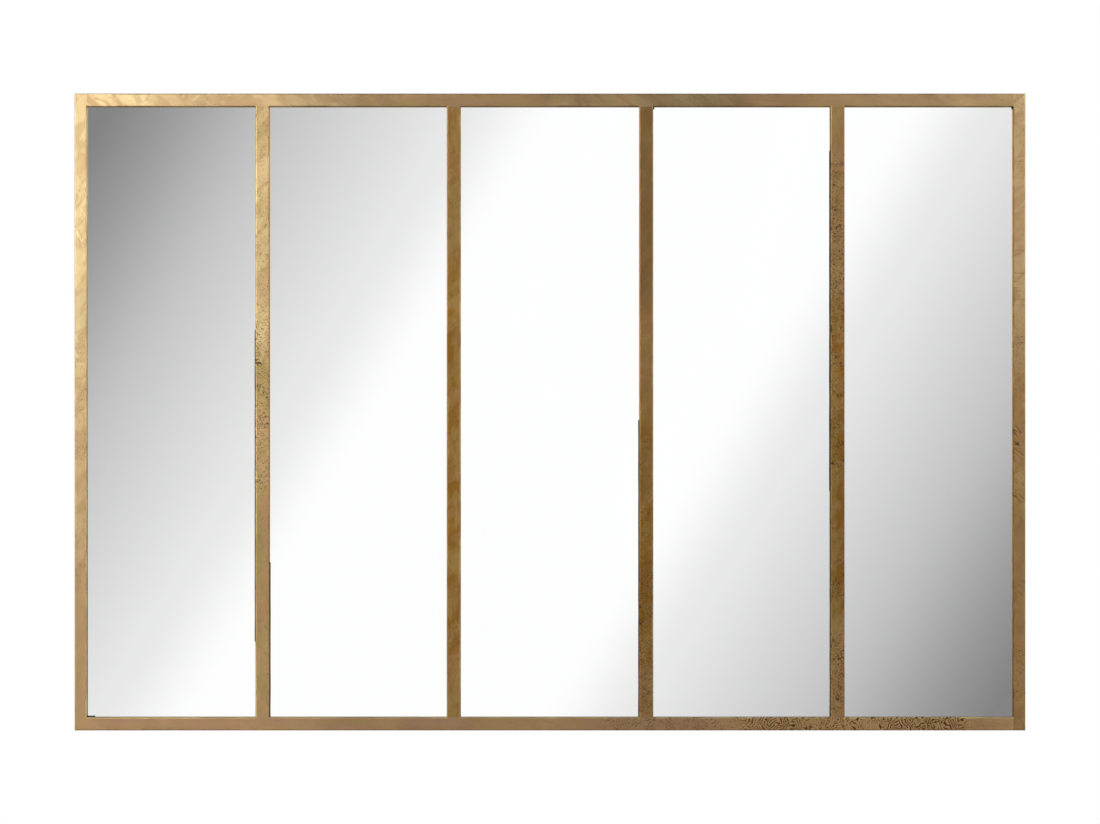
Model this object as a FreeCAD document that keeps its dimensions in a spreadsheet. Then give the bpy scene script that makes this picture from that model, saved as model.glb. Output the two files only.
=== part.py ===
import FreeCAD, Part

import os
import re

import Sketcher

# Five-light window mirror: a gilded grille of flat steel bars over five upright mirror panes,
# a tube frame behind the outer bars, and a backing board held in by turn buttons.
# X runs right, Y runs back towards the wall and Z runs up. The origin is in the plane of the wall,
# behind the middle of the mirror.

SIZES = {
    # grille of flat bars
    "overall_width": 1200.0,
    "overall_height": 804.0,
    "bar_thickness": 4.0,
    "stile_width": 15.5,
    "rail_height": 16.8,
    "mullion_width": 17.7,
    "inner_mullion_offset": 121.5,
    "outer_mullion_offset": 363.0,
    "bar_edge_radius": 1.3,
    # tube frame behind the outer bars
    "tube_width": 10.0,
    "tube_depth": 15.0,
    "tube_wall": 1.5,
    "tube_corner_radius": 1.2,
    # how far in from the outer edge every screw and bumper stands
    "fixing_line": 5.0,
    # web bars on edge behind the mullions
    "web_thickness": 3.0,
    # mirror panes and what beds them
    "pane_thickness": 4.0,
    "pane_clearance": 0.5,
    "pane_arris": 0.4,
    "tape_thickness": 0.5,
    "tape_width": 4.0,
    "tape_setback": 0.4,
    "card_inset": 1.0,
    # backing board
    "board_thickness": 5.0,
    "board_clearance": 0.75,
    "board_proud": 0.2,
    "board_corner_radius": 3.0,
    # turn buttons on the tube frame
    "button_length": 34.0,
    "button_width": 9.0,
    "button_thickness": 1.5,
    "button_edge_radius": 0.3,
    "button_pitch": 400.0,
    "button_play": 0.1,
    "washer_diameter": 7.0,
    "washer_thickness": 0.5,
    # pan-head screws
    "screw_diameter": 3.0,
    "screw_length": 8.0,
    "screw_tip_length": 1.8,
    "screw_tip_diameter": 0.8,
    "pilot_clearance": 0.1,
    "hole_clearance": 0.3,
    "head_diameter": 5.6,
    "head_height": 2.0,
    "head_edge_radius": 0.8,
    "recess_length": 3.2,
    "recess_width": 0.8,
    "recess_depth": 1.1,
    # ring hangers on the stile tubes
    "hanger_drop": 112.0,
    "strap_length": 33.5,
    "strap_width": 8.4,
    "strap_thickness": 1.0,
    "strap_corner_radius": 2.4,
    "neck_width": 4.6,
    "neck_length": 3.4,
    "near_screw_drop": 20.5,
    "far_screw_drop": 29.0,
    "eye_clearance": 0.15,
    "ring_wire": 2.2,
    "ring_width": 9.6,
    "ring_reach": 16.0,
    "ring_corner_radius": 1.5,
    # rubber bumpers against the wall
    "bumper_diameter": 8.0,
    "bumper_height": 6.0,
    "bumper_edge_radius": 1.0,
    "bumper_inset": 30.0,
    # how far every cutter runs past what it cuts
    "overrun": 2.0,
}

# Lengths and places that follow from the sizes above
DERIVED = {
    "half_width": "overall_width / 2",
    "half_height": "overall_height / 2",
    "front_face": "-(bar_thickness + tube_depth + bumper_height)",
    "bar_rear": "front_face + bar_thickness",
    "pane_front": "bar_rear + tape_thickness",
    "pane_rear": "pane_front + pane_thickness",
    "tube_rear": "bar_rear + tube_depth",
    "board_rear": "tube_rear + board_proud",
    "board_front": "board_rear - board_thickness",
    "button_seat": "tube_rear + washer_thickness",
    "button_head_seat": "button_seat + button_thickness + button_play",
    "strap_head_seat": "tube_rear + strap_thickness",
    "hanger_height": "half_height - hanger_drop",
    "pilot_radius": "(screw_diameter + pilot_clearance) / 2",
    "hole_radius": "(screw_diameter + hole_clearance) / 2",
    "eye_bore_radius": "ring_wire / 2 + eye_clearance",
    "eye_radius": "eye_bore_radius + strap_thickness",
    "ring_side": "(ring_width - ring_wire) / 2",
    "ring_end": "ring_reach - ring_wire / 2 - ring_side",
}

X_AXIS = FreeCAD.Vector(1, 0, 0)
Y_AXIS = FreeCAD.Vector(0, 1, 0)
Z_AXIS = FreeCAD.Vector(0, 0, 1)
ORIGIN = FreeCAD.Vector(0, 0, 0)
UPRIGHT = FreeCAD.Rotation()
ALONG_X = FreeCAD.Rotation(Y_AXIS, 90)
ALONG_Y = FreeCAD.Rotation(X_AXIS, -90)
HANGING = FreeCAD.Rotation(X_AXIS, 180)

# How far a side is turned about Y from the top one
TOP, RIGHT, BOTTOM, LEFT = 0, 90, 180, -90

doc = FreeCAD.newDocument("window_mirror")
sheet = doc.addObject("Spreadsheet::Sheet", "Sizes")
nodes = {}


def fill_sheet():
    """Write every size as a plain number and every derived length as a formula, under its alias."""
    numbers = {name: str(value) for name, value in SIZES.items()}
    formulas = {name: "=" + formula for name, formula in DERIVED.items()}
    for row, (name, content) in enumerate((numbers | formulas).items(), start=1):
        sheet.set(f"A{row}", name)
        sheet.set(f"B{row}", content)
        sheet.setAlias(f"B{row}", name)
    doc.recompute()


def bound(formula):
    """A formula in the sheet's own names, as an expression that any other object can hold."""
    known = SIZES.keys() | DERIVED.keys()
    return re.sub(r"[a-z_]+", lambda word: f"Sizes.{word[0]}" if word[0] in known else word[0], formula)


def value(formula):
    """What a formula comes to."""
    return float(sheet.evalExpression(bound(formula)))


def bind(item, **formulas):
    """Tie properties of an object to formulas."""
    for name, formula in formulas.items():
        item.setExpression(name, bound(formula))
    return item


def seat(item, x="0", y="0", z="0", turn=UPRIGHT):
    """Put an object in place: its turn, then a position tied to formulas."""
    item.Placement = FreeCAD.Placement(ORIGIN, turn)
    for axis, formula in zip("xyz", (x, y, z)):
        item.setExpression(f"Placement.Base.{axis}", bound(formula))
    return item


def keep(item, name):
    """Register a finished piece under its node's name."""
    item.Label = name
    nodes[name] = item
    return item


def new_body(name):
    """An empty body."""
    return doc.addObject("PartDesign::Body", name)


def block(body, kind, name, x, y, z):
    """A box feature of a body, Additive or Subtractive, between two formulas on each axis."""
    item = body.newObject(f"PartDesign::{kind}Box", name)
    sides = {"Length": x, "Width": y, "Height": z}
    bind(item, **{side: f"({high}) - ({low})" for side, (low, high) in sides.items()})
    return seat(item, x[0], y[0], z[0])


def stock(name, x, y, z):
    """A plain bar or sheet between two formulas on each axis."""
    item = doc.addObject("Part::Box", name)
    sides = {"Length": x, "Width": y, "Height": z}
    bind(item, **{side: f"({high}) - ({low})" for side, (low, high) in sides.items()})
    return seat(item, x[0], y[0], z[0])


def cylinder(body, kind, name, radius, height, turn, **place):
    """A cylinder feature of a body, Additive or Subtractive, turned from its upright axis."""
    item = body.newObject(f"PartDesign::{kind}Cylinder", name)
    bind(item, Radius=radius, Height=height)
    return seat(item, turn=turn, **place)


def edges_where(item, test):
    """The names of an object's edges that pass a test."""
    return [f"Edge{number}" for number, edge in enumerate(item.Shape.Edges, start=1) if test(edge)]


def lies_at(edge, axis, formula):
    """Whether the whole of an edge lies in a plane square to an axis."""
    low, high = (getattr(edge.BoundBox, f"{axis}{end}") for end in ("Min", "Max"))
    here = value(formula)
    return abs(low - here) < Part.Precision.confusion() and abs(high - here) < Part.Precision.confusion()


def soften(body, kind, name, test, **size):
    """Round or chamfer those edges of a body's last feature that pass a test."""
    doc.recompute()
    last = body.Tip
    item = body.newObject(f"PartDesign::{kind}", name)
    item.Base = (last, edges_where(last, test))
    return bind(item, **size)


def sketch_on(body, role, name):
    """A new sketch on one of the body's own origin planes."""
    sketch = body.newObject("Sketcher::SketchObject", name)
    plane = next(item for item in body.Origin.OriginFeatures if item.Role == role)
    sketch.AttachmentSupport = [(plane, "")]
    sketch.MapMode = "FlatFace"
    return sketch


def constrain(sketch, kind, *where, formula=None):
    """Add a constraint to a sketch, with its size tied to a formula if it has one."""
    if formula is None:
        return sketch.addConstraint(Sketcher.Constraint(kind, *where))
    row = sketch.addConstraint(Sketcher.Constraint(kind, *where, value(formula)))
    sketch.setExpression(f"Constraints[{row}]", bound(formula))
    return row


def polygon(sketch, corners):
    """A closed outline of straight edges, with each corner tied to two formulas."""
    points = [FreeCAD.Vector(value(across), value(up)) for across, up in corners]
    for start, end in zip(points, points[1:] + points[:1]):
        sketch.addGeometry(Part.LineSegment(start, end), False)
    for edge, (across, up) in enumerate(corners):
        constrain(sketch, "Coincident", (edge - 1) % len(corners), 2, edge, 1)
        constrain(sketch, "DistanceX", -1, 1, edge, 1, formula=across)
        constrain(sketch, "DistanceY", -1, 1, edge, 1, formula=up)


def circle(sketch, radius):
    """A circle about the sketch's origin, with its radius tied to a formula."""
    edge = sketch.addGeometry(Part.Circle(ORIGIN, Z_AXIS, value(radius)), False)
    constrain(sketch, "Radius", edge, formula=radius)
    constrain(sketch, "Coincident", edge, 3, -1, 1)


def stadium(sketch, radius, span):
    """Two half circles joined by straight sides, from the sketch's origin along its X axis."""
    near, far, high = value("0"), value(span), value(radius)
    corners = [FreeCAD.Vector(near, high), FreeCAD.Vector(far, high),
               FreeCAD.Vector(far, -high), FreeCAD.Vector(near, -high)]
    quarter = Part.Circle(ORIGIN, Z_AXIS, high).parameter(FreeCAD.Vector(0, high))
    ends = [(FreeCAD.Vector(far, 0), -quarter, quarter), (ORIGIN, quarter, 3 * quarter)]
    sketch.addGeometry(Part.LineSegment(corners[0], corners[1]), False)
    sketch.addGeometry(Part.LineSegment(corners[2], corners[3]), False)
    for centre, first, last in ends:
        sketch.addGeometry(Part.ArcOfCircle(Part.Circle(centre, Z_AXIS, high), first, last), False)
    top, bottom, far_end, near_end = range(4)
    for first, end, second, other in ((top, 2, far_end, 2), (far_end, 1, bottom, 1),
                                      (bottom, 2, near_end, 2), (near_end, 1, top, 1)):
        constrain(sketch, "Tangent", first, end, second, other)
    constrain(sketch, "Coincident", near_end, 3, -1, 1)
    constrain(sketch, "PointOnObject", far_end, 3, -1)
    constrain(sketch, "Equal", near_end, far_end)
    constrain(sketch, "Radius", near_end, formula=radius)
    constrain(sketch, "DistanceX", near_end, 3, far_end, 3, formula=span)


def pad_rearward(body, sketch, name, thickness):
    """A plate raised from a sketch on the XZ plane towards the wall."""
    item = body.newObject("PartDesign::Pad", name)
    item.Profile = sketch
    item.Reversed = True
    return bind(item, Length=thickness)


# Grille

# The centre line of each mullion, from left to right
MULLIONS = ["-outer_mullion_offset", "-inner_mullion_offset", "inner_mullion_offset", "outer_mullion_offset"]
LIGHTS = len(MULLIONS) + 1


def light_width(light, from_edge, from_mullion):
    """The left and right sides of what fills one light, by its distance from each neighbour."""
    left = f"{MULLIONS[light - 1]} + {from_mullion}" if light else f"-half_width + {from_edge}"
    last = light == len(MULLIONS)
    right = f"half_width - ({from_edge})" if last else f"{MULLIONS[light]} - ({from_mullion})"
    return left, right


def evenly(half):
    """Two sides the same distance either side of the middle."""
    return f"-({half})", half


def make_grille():
    """The whole front grille in one piece: five lights cut from a plate, with every front edge rounded."""
    body = new_body("grille")
    depth = ("front_face", "bar_rear")
    block(body, "Additive", "plate", evenly("half_width"), depth, evenly("half_height"))
    through = ("front_face - overrun", "bar_rear + overrun")
    for light in range(LIGHTS):
        sides = light_width(light, "stile_width", "mullion_width / 2")
        block(body, "Subtractive", f"light_{light + 1}", sides, through, evenly("half_height - rail_height"))
    soften(body, "Fillet", "rounded_edges", lambda edge: lies_at(edge, "Y", "front_face"),
           Radius="bar_edge_radius")
    return body


def make_bar(grille, name, x, z):
    """One flat bar of the grille, as wide and as long as its own footprint."""
    footprint = stock(f"{name}_footprint", x, ("front_face", "bar_rear"), z)
    bar = doc.addObject("Part::Common", name)
    bar.Base, bar.Tool = grille, footprint
    keep(bar, name)


def make_web(number, centre):
    """A steel bar on edge behind a mullion, from the mullion's back to the backing board."""
    name = f"web_{number}"
    sides = (f"{centre} - web_thickness / 2", f"{centre} + web_thickness / 2")
    keep(stock(name, sides, ("bar_rear", "board_front"), evenly("half_height - tube_width")), name)


# Tube frame

def half_span(side):
    """Half of a side's own length."""
    return "half_width" if side in (TOP, BOTTOM) else "half_height"


def is_long_edge_of(side):
    """A test for the edges that run the whole length of a side's tube."""
    shortest = 2 * value(half_span(side)) - 3 * value("tube_width")
    return lambda edge: edge.BoundBox.XLength > shortest


def make_tube(name, side, holes):
    """One mitred side of the tube frame, with pilot holes through its rear wall.

    Its own X axis runs along it, Y inwards from its outer edge and Z rearwards.
    """
    body = new_body(name)
    half = half_span(side)
    outside = body.newObject("PartDesign::AdditiveWedge", f"{name}_outside")
    bind(outside, Xmin=f"-{half}", Xmax=half, X2min=f"-{half} + tube_width", X2max=f"{half} - tube_width",
         Ymin="0", Ymax="tube_width", Zmin="0", Zmax="tube_depth", Z2min="0", Z2max="tube_depth")
    soften(body, "Fillet", f"{name}_corners", is_long_edge_of(side), Radius="tube_corner_radius")
    block(body, "Subtractive", f"{name}_bore", evenly(f"{half} + overrun"),
          ("tube_wall", "tube_width - tube_wall"), ("tube_wall", "tube_depth - tube_wall"))
    for number, along in enumerate(holes, start=1):
        cylinder(body, "Subtractive", f"{name}_hole_{number}", "pilot_radius", "tube_wall + 2 * overrun",
                 UPRIGHT, x=along, y="fixing_line", z="tube_depth - tube_wall - overrun")
    outer_edge = {TOP: {"z": "half_height"}, BOTTOM: {"z": "-half_height"},
                  LEFT: {"x": "-half_width"}, RIGHT: {"x": "half_width"}}
    seat(body, y="bar_rear", turn=FreeCAD.Rotation(Y_AXIS, side) * ALONG_Y, **outer_edge[side])
    keep(body, name)


# Panes and what beds them

PANE_EDGE = "tube_width + pane_clearance"
PANE_MULLION = "web_thickness / 2 + pane_clearance"
PANE_HALF_HEIGHT = "half_height - tube_width - pane_clearance"


def make_pane(light):
    """One mirror pane, its sharp edges taken off."""
    name = f"mirror_pane_{light + 1}"
    body = new_body(name)
    block(body, "Additive", f"{name}_sheet", light_width(light, PANE_EDGE, PANE_MULLION),
          ("pane_front", "pane_rear"), evenly(PANE_HALF_HEIGHT))
    soften(body, "Chamfer", f"{name}_arris", lambda edge: True, Size="pane_arris")
    keep(body, name)


def make_tape(light):
    """The black glazing tape between the back of the bars and the face of one pane."""
    name = f"glazing_tape_{light + 1}"
    body = new_body(name)
    for kind, inset, depth in (
        ("Additive", "tape_setback", ("bar_rear", "pane_front")),
        ("Subtractive", "tape_setback + tape_width", ("bar_rear - overrun", "pane_front + overrun")),
    ):
        block(body, kind, f"{name}_{kind}", light_width(light, f"{PANE_EDGE} + {inset}", f"{PANE_MULLION} + {inset}"),
              depth, evenly(f"{PANE_HALF_HEIGHT} - ({inset})"))
    keep(body, name)


def make_card(light):
    """The corrugated card that fills the space between one pane and the backing board."""
    name = f"packing_card_{light + 1}"
    sides = light_width(light, f"{PANE_EDGE} + card_inset", f"{PANE_MULLION} + card_inset")
    keep(stock(name, sides, ("pane_rear", "board_front"), evenly(f"{PANE_HALF_HEIGHT} - card_inset")), name)


def make_board():
    """The backing board, let into the tube frame."""
    body = new_body("backing_board")
    block(body, "Additive", "board_sheet", evenly("half_width - tube_width - board_clearance"),
          ("board_front", "board_rear"), evenly("half_height - tube_width - board_clearance"))
    soften(body, "Fillet", "board_corners", lambda edge: edge.BoundBox.YLength > value("board_thickness / 2"),
           Radius="board_corner_radius")
    keep(body, "backing_board")


# Fasteners and fittings

# Each turn button: where its pivot is, and how far its arm is turned about Y from pointing right
BUTTONS = {
    "top_left": ("-button_pitch", "half_height - fixing_line", 90),
    "top_middle": ("0", "half_height - fixing_line", 90),
    "top_right": ("button_pitch", "half_height - fixing_line", 90),
    "bottom_left": ("-button_pitch", "-half_height + fixing_line", -90),
    "bottom_middle": ("0", "-half_height + fixing_line", -90),
    "bottom_right": ("button_pitch", "-half_height + fixing_line", -90),
    "left": ("-half_width + fixing_line", "0", 0),
    "right": ("half_width - fixing_line", "0", 180),
}

# Where each hanger and each bumper stands
HANGERS = {"left": "-half_width + fixing_line", "right": "half_width - fixing_line"}
BUMPERS = {
    f"{level}_{side}": (f"{sign_across}(half_width - bumper_inset)", f"{sign_up}(half_height - fixing_line)")
    for level, sign_up in (("top", ""), ("bottom", "-"))
    for side, sign_across in (("left", "-"), ("right", ""))
}


def make_button(name, x, z, arm):
    """A flat turn button with round ends, its pivot hole at one end and its arm over the board."""
    label = f"turn_button_{name}"
    body = new_body(label)
    plan = sketch_on(body, "XZ_Plane", f"{label}_plan")
    stadium(plan, "button_width / 2", "button_length - button_width")
    circle(plan, "hole_radius")
    pad_rearward(body, plan, f"{label}_plate", "button_thickness")
    soften(body, "Fillet", f"{label}_edge", is_outer_edge, Radius="button_edge_radius")
    seat(body, x, "button_seat", z, FreeCAD.Rotation(Y_AXIS, arm))
    keep(body, label)


def is_outer_edge(edge):
    """Whether an edge is on the rear face of a turn button and not round its hole."""
    return lies_at(edge, "Y", "button_thickness") and edge.BoundBox.DiagonalLength > value("4 * hole_radius")


def make_washer():
    """The pattern for the washer under each turn button."""
    body = new_body("washer")
    plan = sketch_on(body, "XZ_Plane", "washer_plan")
    circle(plan, "washer_diameter / 2")
    circle(plan, "hole_radius")
    pad_rearward(body, plan, "washer_plate", "washer_thickness")
    return body


def make_screw():
    """The pattern for every screw: the seat of its head is at the origin and its tip points forward."""
    body = new_body("screw")
    half_section = sketch_on(body, "XY_Plane", "screw_half_section")
    polygon(half_section, [
        ("0", "head_height"),
        ("0", "-screw_length"),
        ("screw_tip_diameter / 2", "-screw_length"),
        ("screw_diameter / 2", "-screw_length + screw_tip_length"),
        ("screw_diameter / 2", "0"),
        ("head_diameter / 2", "0"),
        ("head_diameter / 2", "head_height"),
    ])
    turned = body.newObject("PartDesign::Revolution", "screw_turned")
    turned.Profile = half_section
    turned.ReferenceAxis = (half_section, ["V_Axis"])
    soften(body, "Fillet", "head_dome", lambda edge: lies_at(edge, "Y", "head_height"),
           Radius="head_edge_radius")
    depth = ("head_height - recess_depth", "head_height + overrun")
    across, along = evenly("recess_width / 2"), evenly("recess_length / 2")
    block(body, "Subtractive", "recess_upright", across, depth, along)
    block(body, "Subtractive", "recess_level", along, depth, across)
    return body


def make_copies(pattern, name, places):
    """One node of several separate copies of a pattern."""
    copies = []
    for number, (x, y, z) in enumerate(places, start=1):
        link = doc.addObject("App::Link", f"{name}_{number}")
        link.LinkedObject = pattern
        copies.append(seat(link, x, y, z))
    group = doc.addObject("Part::Compound", name)
    group.Links = copies
    keep(group, name)


def make_strap(side, x):
    """A hanger strap: a plate with two screw holes, and a neck rolled into an eye for the ring."""
    name = f"{side}_hanger_strap"
    body = new_body(name)
    depth = ("0", "strap_thickness")
    block(body, "Additive", f"{name}_plate", evenly("strap_width / 2"), depth, ("-strap_length", "-neck_length"))
    soften(body, "Fillet", f"{name}_corners", lambda edge: edge.BoundBox.YLength > value("strap_thickness / 2"),
           Radius="strap_corner_radius")
    block(body, "Additive", f"{name}_neck", evenly("neck_width / 2"), depth,
          ("-neck_length - strap_corner_radius", "0"))
    cylinder(body, "Additive", f"{name}_roll", "eye_radius", "neck_width", ALONG_X,
             x="-neck_width / 2", y="eye_radius")
    cylinder(body, "Subtractive", f"{name}_eye", "eye_bore_radius", "neck_width + 2 * overrun", ALONG_X,
             x="-neck_width / 2 - overrun", y="eye_radius")
    for hole, drop in (("near", "near_screw_drop"), ("far", "far_screw_drop")):
        cylinder(body, "Subtractive", f"{name}_{hole}_hole", "hole_radius", "strap_thickness + 2 * overrun",
                 ALONG_Y, y="-overrun", z=f"-{drop}")
    seat(body, x, "tube_rear", "hanger_height")
    keep(body, name)


def torus(body, name, radius, sweep, start, **place):
    """A bent length of the ring's wire in the XZ plane, from one angle and through a sweep."""
    item = body.newObject("PartDesign::AdditiveTorus", name)
    bind(item, Radius1=radius, Radius2="ring_wire / 2")
    item.Angle3 = sweep
    in_plane = FreeCAD.Rotation(X_AXIS, 90) * FreeCAD.Rotation(Z_AXIS, start)
    return seat(item, turn=in_plane, **place)


def make_ring(side, x):
    """A wire hanging ring: a straight bar in the strap's eye, two legs and a round end.

    It hangs down over the strap, as it does until it is lifted onto a hook.
    """
    name = f"{side}_hanger_ring"
    body = new_body(name)
    wire = "ring_wire / 2"
    cylinder(body, "Additive", f"{name}_bar", wire, "2 * (ring_side - ring_corner_radius)", ALONG_X,
             x="-ring_side + ring_corner_radius")
    for number, (hand, start) in enumerate((("", -90), ("-", 180)), start=1):
        torus(body, f"{name}_bend_{number}", "ring_corner_radius", 90, start,
              x=f"{hand}(ring_side - ring_corner_radius)", z="ring_corner_radius")
        cylinder(body, "Additive", f"{name}_leg_{number}", wire, "ring_end - ring_corner_radius", UPRIGHT,
                 x=f"{hand}ring_side", z="ring_corner_radius")
    torus(body, f"{name}_end", "ring_side", 180, 0, z="ring_end")
    seat(body, x, "tube_rear + eye_radius", "hanger_height", HANGING)
    keep(body, name)


def make_bumper(name, x, z):
    """A rubber bumper that keeps the frame off the wall."""
    label = f"bumper_{name}"
    body = new_body(label)
    cylinder(body, "Additive", f"{label}_stud", "bumper_diameter / 2", "bumper_height", ALONG_Y)
    soften(body, "Fillet", f"{label}_edge", lambda edge: lies_at(edge, "Y", "bumper_height"),
           Radius="bumper_edge_radius")
    seat(body, x, "tube_rear", z)
    keep(body, label)


def build():
    """Make every piece, from the front of the mirror to its back."""
    grille = make_grille()
    between_stiles, full_height = evenly("half_width - stile_width"), evenly("half_height")
    make_bar(grille, "left_stile", ("-half_width", "-half_width + stile_width"), full_height)
    make_bar(grille, "right_stile", ("half_width - stile_width", "half_width"), full_height)
    make_bar(grille, "top_rail", between_stiles, ("half_height - rail_height", "half_height"))
    make_bar(grille, "bottom_rail", between_stiles, ("-half_height", "-half_height + rail_height"))
    for number, centre in enumerate(MULLIONS, start=1):
        sides = (f"{centre} - mullion_width / 2", f"{centre} + mullion_width / 2")
        make_bar(grille, f"mullion_{number}", sides, evenly("half_height - rail_height"))
        make_web(number, centre)

    rail_holes = ["-button_pitch", "0", "button_pitch"]
    hanger_holes = [f"hanger_height - {drop}" for drop in ("near_screw_drop", "far_screw_drop")]
    make_tube("top_tube", TOP, rail_holes)
    make_tube("bottom_tube", BOTTOM, rail_holes)
    make_tube("left_tube", LEFT, ["0", *hanger_holes])
    make_tube("right_tube", RIGHT, ["0", *(f"-({hole})" for hole in hanger_holes)])

    for light in range(LIGHTS):
        make_tape(light)
        make_pane(light)
        make_card(light)
    make_board()

    for name, (x, z, arm) in BUTTONS.items():
        make_button(name, x, z, arm)
    pivots = [(x, z) for x, z, arm in BUTTONS.values()]
    make_copies(make_washer(), "turn_button_washers", [(x, "tube_rear", z) for x, z in pivots])
    screw = make_screw()
    make_copies(screw, "turn_button_screws", [(x, "button_head_seat", z) for x, z in pivots])
    for side, x in HANGERS.items():
        make_strap(side, x)
        make_ring(side, x)
    make_copies(screw, "hanger_screws",
                [(x, "strap_head_seat", hole) for x in HANGERS.values() for hole in hanger_holes])
    for name, (x, z) in BUMPERS.items():
        make_bumper(name, x, z)


def check():
    """Stop if a feature failed, a cut took nothing away, or a piece isn't sound solids."""
    for item in doc.Objects:
        if {"Invalid", "Error"} & set(item.State):
            raise RuntimeError(f"{item.Label} failed: {item.State}")
        if item.TypeId.startswith("PartDesign::Subtractive"):
            before = item.BaseFeature.Shape.Volume
            if item.Shape.Volume >= before:
                raise RuntimeError(f"{item.Label} cuts nothing")
    for name, item in nodes.items():
        shape = item.Shape
        if shape.isNull() or not shape.isValid() or not shape.Solids:
            raise RuntimeError(f"{name} isn't a sound solid")


def write():
    """Write each piece to a file of its own, and print what it measures."""
    os.makedirs("parts", exist_ok=True)
    for name, item in nodes.items():
        item.Shape.exportStep(f"parts/{name}.step")
        box = item.Shape.BoundBox
        print(f"{name}: {len(item.Shape.Solids)} solid(s), {box.XLength:.2f} x {box.YLength:.2f} "
              f"x {box.ZLength:.2f} mm, {item.Shape.Volume:.1f} mm3")
    print(f"{len(nodes)} nodes")


fill_sheet()
build()
doc.recompute()
check()
write()
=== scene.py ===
"""Looks of a window mirror: five mirror panes behind a gilded grille of flat steel bars.

Lengths are in metres. X runs right, Y runs back towards the wall and Z runs up, and the origin is in the
plane of the wall, behind the middle of the mirror.
"""

import logging
import math
from collections.abc import Sequence
from dataclasses import dataclass
from enum import Enum
from typing import ClassVar

import bmesh
import bpy
from mathutils import Matrix, Vector, noise


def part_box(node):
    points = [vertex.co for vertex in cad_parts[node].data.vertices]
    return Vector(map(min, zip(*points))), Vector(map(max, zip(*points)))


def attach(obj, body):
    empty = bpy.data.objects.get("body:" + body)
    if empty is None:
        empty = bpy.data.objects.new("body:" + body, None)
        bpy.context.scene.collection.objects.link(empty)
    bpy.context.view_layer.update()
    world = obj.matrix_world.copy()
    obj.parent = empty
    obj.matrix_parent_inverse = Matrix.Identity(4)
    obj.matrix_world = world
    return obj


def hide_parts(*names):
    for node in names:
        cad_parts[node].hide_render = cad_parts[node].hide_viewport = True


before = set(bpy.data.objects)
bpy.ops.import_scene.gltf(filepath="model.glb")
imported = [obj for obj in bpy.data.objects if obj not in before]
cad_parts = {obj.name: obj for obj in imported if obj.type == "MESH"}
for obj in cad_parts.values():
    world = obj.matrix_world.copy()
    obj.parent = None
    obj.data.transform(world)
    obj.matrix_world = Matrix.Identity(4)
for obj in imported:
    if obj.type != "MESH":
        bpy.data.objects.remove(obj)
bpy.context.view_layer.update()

Colour = tuple[float, float, float]
Place = tuple[float, float, float]
Pair = tuple[float, float]

BODY = "frame"

log = logging.getLogger("window_mirror")


# Shader expressions


class Signal:
    """The output socket of a shader node, with Python's operators for the numbers that it carries."""

    def __init__(self, graph: "Graph", socket: bpy.types.NodeSocket) -> None:
        """Wrap a socket of a graph."""
        self.graph = graph
        self.socket = socket

    def __add__(self, other: "Number") -> "Signal":
        """The sum."""
        return self.graph.maths("ADD", self, other)

    def __sub__(self, other: "Number") -> "Signal":
        """The difference."""
        return self.graph.maths("SUBTRACT", self, other)

    def __rsub__(self, other: "Number") -> "Signal":
        """The difference from a plain number."""
        return self.graph.maths("SUBTRACT", other, self)

    def __mul__(self, other: "Number") -> "Signal":
        """The product."""
        return self.graph.maths("MULTIPLY", self, other)

    def __truediv__(self, other: "Number") -> "Signal":
        """The quotient."""
        return self.graph.maths("DIVIDE", self, other)

    def __abs__(self) -> "Signal":
        """The size without its sign."""
        return self.graph.maths("ABSOLUTE", self)

    __radd__ = __add__
    __rmul__ = __mul__

    def above(self, low: float, high: float) -> "Signal":
        """A mask that rises smoothly from 0 at one value to 1 at a higher one."""
        return self.graph.node("MapRange", {"interpolation_type": "SMOOTHSTEP"},
                               {"Value": self, "From Min": low, "From Max": high})

    def below(self, low: float, high: float) -> "Signal":
        """A mask that falls smoothly from 1 at one value to 0 at a higher one."""
        return 1 - self.above(low, high)

    def most(self, other: "Number") -> "Signal":
        """The larger of two."""
        return self.graph.maths("MAXIMUM", self, other)

    def least(self, other: "Number") -> "Signal":
        """The smaller of two."""
        return self.graph.maths("MINIMUM", self, other)


Number = float | Signal
Paint = Colour | Signal


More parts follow.
